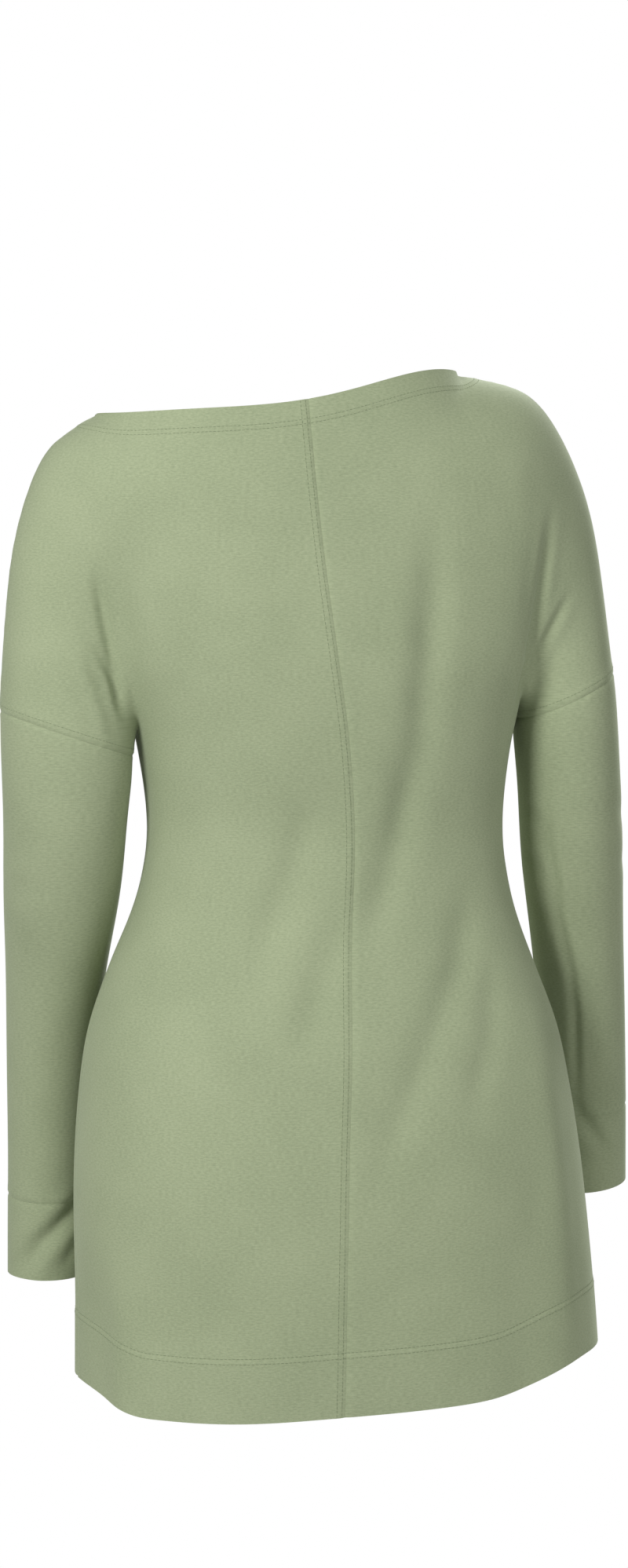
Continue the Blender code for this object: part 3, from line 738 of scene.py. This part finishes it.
def read(items, name, width, kind):
    """One value of many mesh items as rows of a numpy array."""
    each = len(getattr(items[0], name)) if kind is float and width > 1 else 1
    values = np.empty(len(items) * each, dtype=np.float32 if kind is float else np.int32)
    items.foreach_get(name, values)
    return values.reshape(-1, width).astype(kind)


def fine_surface(levels):
    """The coarse surface with subdivision, and the name of each quad's piece."""
    mesh, names = surface()
    data = bpy.data.meshes.new("surface")
    mesh.to_mesh(data)
    mesh.free()
    thing = add_object("surface", data)
    modifier = thing.modifiers.new("fine", "SUBSURF")
    modifier.levels = levels
    modifier.render_levels = levels
    evaluated = thing.evaluated_get(bpy.context.evaluated_depsgraph_get())
    fine = evaluated.to_mesh()
    points = read(fine.vertices, "co", 3, float)
    quads = read(fine.loops, "vertex_index", 4, int)
    numbers = read(fine.attributes["piece"].data, "value", 1, int)[:, 0]
    evaluated.to_mesh_clear()
    bpy.data.objects.remove(thing, do_unlink=True)
    bpy.data.meshes.remove(data)
    return Surface(points, normals_of(points, quads), quads, np.array(names)[numbers])


def normals_of(points, quads):
    """Normals at the points, from the quads around each."""
    corner = points[quads]
    cross = np.cross(corner[:, 2] - corner[:, 0], corner[:, 3] - corner[:, 1])
    total = np.zeros_like(points)
    for column in quads.T:
        np.add.at(total, column, cross)
    return total / np.linalg.norm(total, axis=1, keepdims=True)


def paired_edges(quads):
    """Each edge once, with the quads on its two sides; -1 where there is only one."""
    edges = np.concatenate([quads[:, [k, (k + 1) % 4]] for k in range(4)])
    owner = np.tile(np.arange(len(quads)), 4)
    edges.sort(axis=1)
    order = np.lexsort((edges[:, 1], edges[:, 0]))
    edges, owner = edges[order], owner[order]
    same = np.all(edges[1:] == edges[:-1], axis=1)
    first = np.concatenate([[True], ~same])
    second = np.concatenate([same, [False]])[first]
    one = owner[first]
    index = np.flatnonzero(first)
    other = np.where(second, owner[np.minimum(index + 1, len(owner) - 1)], -1)
    return edges[first], one, other


def edge_groups(cloth):
    """The open edges of the neck, hem and cuffs, and the seams, by name."""
    edges, one, other = paired_edges(cloth.quads)
    open_edge = other < 0
    height = cloth.points[edges].mean(axis=1)[:, 2]
    first, second = cloth.piece[one], cloth.piece[other]
    seam = ~open_edge & (first != second)
    body = seam & np.isin(first, BODY_PIECES) & np.isin(second, BODY_PIECES)
    front = (first == "front") | (second == "front")
    cuff = seam & (np.isin(first, CUFFS) | np.isin(second, CUFFS))
    return {
        "neck": edges[open_edge & (height > NECK_ABOVE_Z)],
        "hem": edges[open_edge & (height < HEM_BELOW_Z)],
        "back": edges[body & ~front],
        "side": edges[body & front],
        "armhole": edges[seam & ~body & ~cuff],
        "cuff": edges[cuff],
    }


def distance(points, edges):
    """Distance of every point from the nearest of some short edges."""
    starts, ends = points[edges[:, 0]], points[edges[:, 1]]
    count = int(np.ceil(np.linalg.norm(ends - starts, axis=1).max() / EDGE_STEP))
    places = np.concatenate([starts + (ends - starts) * k / count for k in range(count)])
    tree = KDTree(len(places))
    for index, place in enumerate(places):
        tree.insert(place, index)
    tree.balance()
    return np.array([tree.find(point)[2] for point in points])


def point_pieces(cloth):
    """For each piece, whether each point of the surface belongs to it."""
    result = {}
    for name in np.unique(cloth.piece):
        own = np.zeros(len(cloth.points), dtype=bool)
        own[cloth.quads[cloth.piece == name].ravel()] = True
        result[name] = own
    return result


def band(away, depth_of_band, edge):
    """1 inside a band along an edge or a seam, and 0 beyond it."""
    return 1 - smooth_step((away - depth_of_band) / edge + 0.5)


def puckers(points):
    """Uneven small waves, from two waves that cross."""
    x, _, z = points.T
    first, second = PUCKER_LENGTHS
    waves = np.sin(2 * np.pi * (z + x) / first) + np.sin(2 * np.pi * (z - x) / second)
    return PUCKER_HEIGHT * waves / 2


def dress(cloth):
    """The fine surface with its creases, seams and turned edges, and all the distances."""
    away = {name: distance(cloth.points, edges) for name, edges in edge_groups(cloth).items()}
    own = point_pieces(cloth)
    height = crease_heights(cloth.points, cloth.normals, own)
    back = own["back_left"] | own["back_right"]
    turned = {
        "back": own["back_left"],
        "side": back,
        "armhole": back | own["front"],
        "cuff": own["sleeve_left"] | own["sleeve_right"],
    }
    waves = puckers(cloth.points)
    for name in turned:
        height -= SEAM_DEPTH * np.exp(-((away[name] / SEAM_WIDTH) ** 2))
        height += waves * np.exp(-((away[name] / PUCKER_WIDTH) ** 2))
    for name, side in turned.items():
        height += TURNING_HEIGHT * side * band(away[name], TURNING_DEPTH, BAND_EDGE)
    height += BAND_HEIGHT * band(away["neck"], NECK_DEPTH_OF_BAND, BAND_EDGE)
    height += BAND_HEIGHT * band(away["hem"], HEM_DEPTH, BAND_EDGE)
    points = cloth.points + cloth.normals * height[:, None]
    return cloth._replace(points=points, normals=normals_of(points, cloth.quads)), away


def wall_thickness(piece, away):
    turned = (away["neck"] < NECK_TURN) | (away["hem"] < HEM_DEPTH) | piece.startswith("cuff")
    return np.where(turned, TURNED_WALL, WALL)


def cloth_lengths(points, piece):
    """Lengths of cloth round and along the body or arm, for the knit's pattern."""
    x, y, z = points.T
    side = LEFT if piece.endswith("left") else RIGHT
    if piece == "front":
        turn = np.arctan2(x - body("middle", z), -y)
        return np.stack([turn * BODY_RADIUS, z], axis=-1)
    if piece.startswith("back"):
        return np.stack([x - side * y, z], axis=-1)
    rows = sleeve_rows(side)
    across = x - side * smooth_value(rows, "z", "x", z)
    turn = np.arctan2(across, y - smooth_value(rows, "z", "y", z))
    return np.stack([turn * ARM_RADIUS, z], axis=-1)


def unwrapped(lengths, turn):
    """Corner values of quads that cross the line where the angle starts again, made whole."""
    spread = lengths[..., 0].max(axis=1) - lengths[..., 0].min(axis=1)
    crossing = (spread > turn / 2)[:, None] & (lengths[..., 0] < 0)
    lengths[..., 0] += crossing * turn
    return lengths


def new_piece(name, points, quads, material):
    data = bpy.data.meshes.new(name)
    data.from_pydata(points.tolist(), [], quads.tolist())
    data.materials.append(material)
    data.shade_smooth()
    piece = add_object(name, data)
    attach(piece, "root")
    return piece


def own_part(cloth, name):
    """One piece's quads with points numbered anew, and the old numbers of those points."""
    quads = cloth.quads[cloth.piece == name]
    old, new = np.unique(quads, return_inverse=True)
    return old, new.reshape(quads.shape)


def drawn_back(points, normals, quads, at_seam):
    """The points, with those at a seam moved a little along the cloth, away from the seam."""
    centre = points[quads].mean(axis=1)
    inward = np.zeros_like(points)
    for column in quads.T:
        np.add.at(inward, column, centre - points[column])
    inward -= normals * (inward * normals).sum(axis=1, keepdims=True)
    length = np.maximum(np.linalg.norm(inward, axis=1, keepdims=True), LEAST_SOFTNESS)
    return points + at_seam[:, None] * inward / length * SEAM_LINE / 2


def garment_piece(cloth, away, name, material):
    """One piece of the garment as a closed wall, drawn back a little from its seams."""
    old, quads = own_part(cloth, name)
    away = {key: value[old] for key, value in away.items()}
    normals = cloth.normals[old]
    points = cloth.points[old]
    count = len(points)
    edges, _, other = paired_edges(quads)
    rim = edges[other < 0]
    at_seam = np.isin(np.arange(count), rim)
    at_seam &= np.minimum(away["neck"], away["hem"]) > EDGE_STEP
    outer = drawn_back(points, normals, quads, at_seam)
    inner = outer - normals * wall_thickness(name, away)[:, None]
    rims = rim_quads(quads, rim, count)
    all_quads = np.concatenate([quads, quads[:, ::-1] + count, rims])
    piece = new_piece(name + "_cloth", np.concatenate([outer, inner]), all_quads, material)
    piece.data.set_sharp_from_angle(angle=np.radians(SHARP_DEGREES))
    radius = BODY_RADIUS if name in BODY_PIECES else ARM_RADIUS
    lengths = cloth_lengths(np.concatenate([points, points]), name)
    corners = unwrapped(lengths[all_quads], 2 * np.pi * radius)
    layer = piece.data.uv_layers.new(name="cloth")
    layer.data.foreach_set("uv", corners.astype(np.float32).ravel())
    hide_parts(name)
    return piece


def rim_quads(quads, rim, count):
    """Quads that join the outer wall's rim to the inner wall's, facing out."""
    directed = np.concatenate([quads[:, [k, (k + 1) % 4]] for k in range(4)])
    wanted = {(int(a), int(b)) for a, b in rim}
    result = []
    for a, b in directed.tolist():
        if (min(a, b), max(a, b)) in wanted:
            result.append((b, a, a + count, b + count))
    return np.array(result)


def level_points(points, normals, quads, values, level):
    """Chains of points, with normals, where a value given at the points meets a level."""
    links = {}
    places = {}
    above = values[quads] > level
    for a, b, c, d in quads[above.any(axis=1) & ~above.all(axis=1)].tolist():
        crossed = []
        for start, end in ((a, b), (b, c), (c, d), (d, a)):
            if (values[start] > level) != (values[end] > level):
                key = (min(start, end), max(start, end))
                part = (level - values[key[0]]) / (values[key[1]] - values[key[0]])
                places[key] = [item[key[0]] + (item[key[1]] - item[key[0]]) * part
                               for item in (points, normals)]
                crossed.append(key)
        if len(crossed) == 2:
            for one, other in (crossed, crossed[::-1]):
                links.setdefault(one, []).append(other)
    chains = []
    while links:
        start = min(links, key=lambda key: (len(links[key]), key))
        chain = [start]
        while links.get(chain[-1]):
            here = chain[-1]
            following = links[here].pop()
            links[following].remove(here)
            chain.append(following)
        links = {key: value for key, value in links.items() if value}
        chains.append(np.array([places[key] for key in chain]))
    return chains


def stitches(chain):
    """Points and quads of a row of stitches along a chain, each of three rings of four points."""
    steps = step_lengths(chain[:, 0])
    along = np.concatenate([[0.0], np.cumsum(steps)])
    pitch = STITCH_LENGTH + STITCH_GAP
    middles = np.arange(pitch / 2, along[-1], pitch)
    half = STITCH_LENGTH / 2

    def at(places):
        flat = chain.reshape(len(chain), -1)
        values = [np.interp(places, along, column) for column in flat.T]
        return np.stack(values, axis=-1).reshape(-1, 2, 3)

    points = []
    tangent = at(middles + half)[:, 0] - at(middles - half)[:, 0]
    for offset, size in ((-half, STITCH_END), (0.0, 1.0), (half, STITCH_END)):
        place, normal = at(middles + offset).transpose(1, 0, 2)
        side = np.cross(normal, tangent)
        side *= STITCH_WIDTH / 2 / np.linalg.norm(side, axis=1, keepdims=True)
        points += [place + side * size, place + normal * STITCH_HEIGHT * size,
                   place - side * size, place - normal * STITCH_SINK]
    points = np.stack(points, axis=1)
    first = points.shape[1] * np.arange(len(middles))[:, None]
    rings = [(r + k, r + (k + 1) % 4, r + 4 + (k + 1) % 4, r + 4 + k)
             for r in (0, 4) for k in range(4)]
    template = np.array(rings + [(3, 2, 1, 0), (8, 9, 10, 11)])
    return points.reshape(-1, 3), (first[..., None] + template[None]).reshape(-1, 4)


def stitched_rows(name):
    """The stitch rows of one piece: the name of an edge or seam and the distance from it."""
    if name not in BODY_PIECES:
        return []
    lines = [line for line in STITCH_ROWS if line != "back" or name == "back_left"]
    return [(line, place) for line in lines for place in STITCH_ROWS[line]]


def stitching(cloth, away, name, material):
    """All stitches of one piece as one object, or nothing."""
    old, quads = own_part(cloth, name)
    all_points, all_quads = [], []
    points, normals = cloth.points[old], cloth.normals[old]
    for line, level in stitched_rows(name):
        for chain in level_points(points, normals, quads, away[line][old], level):
            if step_lengths(chain[:, 0]).sum() < SHORTEST_ROW:
                continue
            stitch_points, faces = stitches(chain)
            all_quads.append(faces + sum(len(item) for item in all_points))
            all_points.append(stitch_points)
    if not all_points:
        return None
    return new_piece(name + "_stitching", np.concatenate(all_points),
                     np.concatenate(all_quads), material)


# Knit: colours, the sizes of its loops and the unevenness of the yarn
KNIT_COLOUR = (0.368, 0.417, 0.262)
KNIT_DARK = (0.250, 0.296, 0.177)
# The thread's colours are darker than the knit: partly the thread's own colour, partly painted
# shade along the stitch rows
THREAD_AND_SHADE_COLOUR = (0.215, 0.260, 0.150)
THREAD_AND_SHADE_DARK = (0.160, 0.196, 0.108)
WALE = 0.0012
COURSE = 0.0010
FUZZ = 0.0011
STREAK = 0.30
CLOUD = 0.060
FUZZ_SHARE = 0.69
CLOUD_SHARE = 0.25
# The loops' share raises them in the bump and also paints the grooves between them darker in the
# colour, as painted shade
LOOP_SHARE = 0.06
LOOP_WAVER = {"Distortion": 0.8, "Detail": 1.0, "Detail Scale": 1.5}
FUZZ_ROUGHNESS = 0.6
NOISE_DETAIL = 3.0
DARK_TONE = 0.30
LIGHT_TONE = 0.68
BUMP_STRENGTH = 0.35
BUMP_HEIGHT = 0.00025
KNIT_SURFACE = {
    "Roughness": 0.95,
    "Specular IOR Level": 0.25,
    "Sheen Weight": 0.30,
    "Sheen Roughness": 0.45,
    "Sheen Tint": (0.80, 0.88, 0.70, 1.0),
}

# Waves in one unit of a wave texture at scale 1, times 2 pi
WAVE_TURNS = 20.0


def add_node(tree, kind, inputs=(), **settings):
    """Outputs of a new shader node, whose inputs are plain values or other nodes' outputs."""
    node = tree.nodes.new(kind)
    for key, value in settings.items():
        setattr(node, key, value)
    for key, value in dict(inputs).items():
        if isinstance(value, bpy.types.NodeSocket):
            tree.links.new(value, node.inputs[key])
        else:
            node.inputs[key].default_value = value
    return node.outputs


def mixed(tree, first, second, share):
    """The mean of two grey values, with the second's share."""
    inputs = {"Factor": share, "A": first, "B": second}
    return add_node(tree, "ShaderNodeMix", inputs, data_type="FLOAT")["Result"]


def new_material(name, values):
    """A material and its shader, with some plain input values."""
    material = bpy.data.materials.new(name)
    material.use_nodes = True
    shader = material.node_tree.nodes["Principled BSDF"]
    for key, value in values.items():
        shader.inputs[key].default_value = value
    return material, shader


def fabric(name, light, dark, strength):
    """Matt knit: loops in rows and columns, fuzz, and faint clouds of colour, with the grooves
    between the loops painted darker as shade.
    """
    material, shader = new_material(name, KNIT_SURFACE)
    tree = material.node_tree
    place = add_node(tree, "ShaderNodeTexCoord")
    waves = []
    for direction, size in (("X", WALE), ("Y", COURSE)):
        inputs = {"Scale": 2 * np.pi / (WAVE_TURNS * size), **LOOP_WAVER, "Vector": place["UV"]}
        wave = add_node(tree, "ShaderNodeTexWave", inputs, bands_direction=direction)
        waves.append(wave["Fac"])
    loops = mixed(tree, waves[0], waves[1], 0.5)
    streaks = add_node(tree, "ShaderNodeMapping", {
        "Scale": (STREAK, 1.0, 1.0), "Vector": place["UV"]})
    fuzz = add_node(tree, "ShaderNodeTexNoise", {
        "Scale": 1 / FUZZ, "Detail": NOISE_DETAIL, "Roughness": FUZZ_ROUGHNESS,
        "Vector": streaks["Vector"]})
    cloud = add_node(tree, "ShaderNodeTexNoise", {
        "Scale": 1 / CLOUD, "Detail": NOISE_DETAIL, "Vector": place["Object"]})
    # The colour takes the loops as well as the fuzz and clouds, so the grooves between loops come
    # out darker: painted shade
    yarn = mixed(tree, loops, fuzz["Fac"], FUZZ_SHARE / (FUZZ_SHARE + LOOP_SHARE))
    tone = mixed(tree, yarn, cloud["Fac"], CLOUD_SHARE)
    colour = add_node(tree, "ShaderNodeValToRGB", {"Fac": tone})["Color"]
    stops = ((DARK_TONE, dark), (LIGHT_TONE, light))
    for element, (position, shade) in zip(colour.node.color_ramp.elements, stops):
        element.position = position
        element.color = (*shade, 1.0)
    bump = add_node(tree, "ShaderNodeBump", {
        "Strength": strength, "Distance": BUMP_HEIGHT, "Height": yarn})
    tree.links.new(colour, shader.inputs["Base Color"])
    tree.links.new(bump["Normal"], shader.inputs["Normal"])
    return material


# Camera of the photograph, level with the shoulders behind the wearer's left
CAMERA_TURN = 12.0
CAMERA_DISTANCE = 3.0
FOCAL_PIXELS = 4950.0
PHOTO_SIZE = (800, 1997)
AXIS_PIXEL = (390.0, 498.0)
SENSOR = 36.0

# Light: a lamp to the camera's left, a broad and weaker one to its right, one for the front,
# and pale surroundings that are darker from below
Lamp = namedtuple("Lamp", "place size power")
LAMPS = {
    "key": Lamp((1.7, 1.8, 0.85), 0.7, 58.0),
    "fill": Lamp((-1.6, 2.8, 0.3), 2.0, 26.0),
    "front": Lamp((-1.5, -1.9, 1.1), 0.9, 58.0),
}
AIM = (0.0, 0.0, -0.35)
SURROUND_BELOW = 0.14
SURROUND_ABOVE = 0.40
WHITE = (1.0, 1.0, 1.0, 1.0)

# Floor, round
FLOOR_Z = -1.45
FLOOR_SIZE = 3.2
FLOOR_SEGMENTS = 96
FLOOR_SURFACE = {"Base Color": (0.62, 0.62, 0.61, 1.0), "Roughness": 0.9}


def add_camera():
    turn = np.radians(CAMERA_TURN)
    place = Vector((np.sin(turn), np.cos(turn), 0.0)) * CAMERA_DISTANCE
    data = bpy.data.cameras.new("camera")
    data.sensor_fit = "VERTICAL"
    data.sensor_height = SENSOR
    data.lens = SENSOR * FOCAL_PIXELS / PHOTO_SIZE[1]
    data.shift_x = (PHOTO_SIZE[0] / 2 - AXIS_PIXEL[0]) / PHOTO_SIZE[1]
    data.shift_y = (AXIS_PIXEL[1] - PHOTO_SIZE[1] / 2) / PHOTO_SIZE[1]
    camera = add_object("camera", data)
    camera.location = place
    camera.rotation_euler = (-place).to_track_quat("-Z", "Y").to_euler()
    bpy.context.scene.camera = camera


def add_lamps():
    for name, lamp in LAMPS.items():
        data = bpy.data.lights.new(name, "AREA")
        data.size = lamp.size
        data.energy = lamp.power
        thing = add_object(name, data)
        thing.location = lamp.place
        direction = Vector(AIM) - Vector(lamp.place)
        thing.rotation_euler = direction.to_track_quat("-Z", "Y").to_euler()


def add_surroundings():
    """White behind the object, and a weaker light from all round it, more from above."""
    world = bpy.data.worlds.new("pale")
    world.use_nodes = True
    tree = world.node_tree
    tree.nodes.clear()
    direction = add_node(tree, "ShaderNodeTexCoord")["Generated"]
    height = add_node(tree, "ShaderNodeSeparateXYZ", {"Vector": direction})["Z"]
    strength = add_node(tree, "ShaderNodeMapRange", {
        "Value": height, "From Min": -1.0, "From Max": 1.0,
        "To Min": SURROUND_BELOW, "To Max": SURROUND_ABOVE})["Result"]
    light = add_node(tree, "ShaderNodeBackground", {"Color": WHITE, "Strength": strength})
    white = add_node(tree, "ShaderNodeBackground", {"Color": WHITE})
    seen = add_node(tree, "ShaderNodeLightPath")["Is Camera Ray"]
    mix = add_node(tree, "ShaderNodeMixShader", {0: seen, 1: light[0], 2: white[0]})
    add_node(tree, "ShaderNodeOutputWorld", {"Surface": mix[0]})
    bpy.context.scene.world = world


def add_floor():
    data = bpy.data.meshes.new("floor")
    mesh = bmesh.new()
    bmesh.ops.create_circle(mesh, cap_ends=True, segments=FLOOR_SEGMENTS, radius=FLOOR_SIZE / 2)
    mesh.to_mesh(data)
    mesh.free()
    floor = add_object("floor", data)
    floor.location = (0.0, 0.0, FLOOR_Z)
    material, _ = new_material("floor", FLOOR_SURFACE)
    data.materials.append(material)


def add_garment():
    knit = fabric("knit", KNIT_COLOUR, KNIT_DARK, BUMP_STRENGTH)
    # The stitching's material is darkened to paint the shade that falls along its rows
    thread_and_shade = fabric("thread_and_shade", THREAD_AND_SHADE_COLOUR, THREAD_AND_SHADE_DARK, 0.0)
    fine, fine_away = dress(fine_surface(FINE_LEVELS))
    plain, plain_away = dress(fine_surface(PLAIN_LEVELS))
    for name, cut in CUTS.items():
        cloth, away = (plain, plain_away) if name in PLAIN_PIECES else (fine, fine_away)
        piece = garment_piece(cloth, away, name, knit)
        rows = stitching(cloth, away, name, thread_and_shade)


bpy.context.scene.view_settings.view_transform = "Standard"
add_camera()
add_surroundings()
add_lamps()
add_floor()
add_garment()
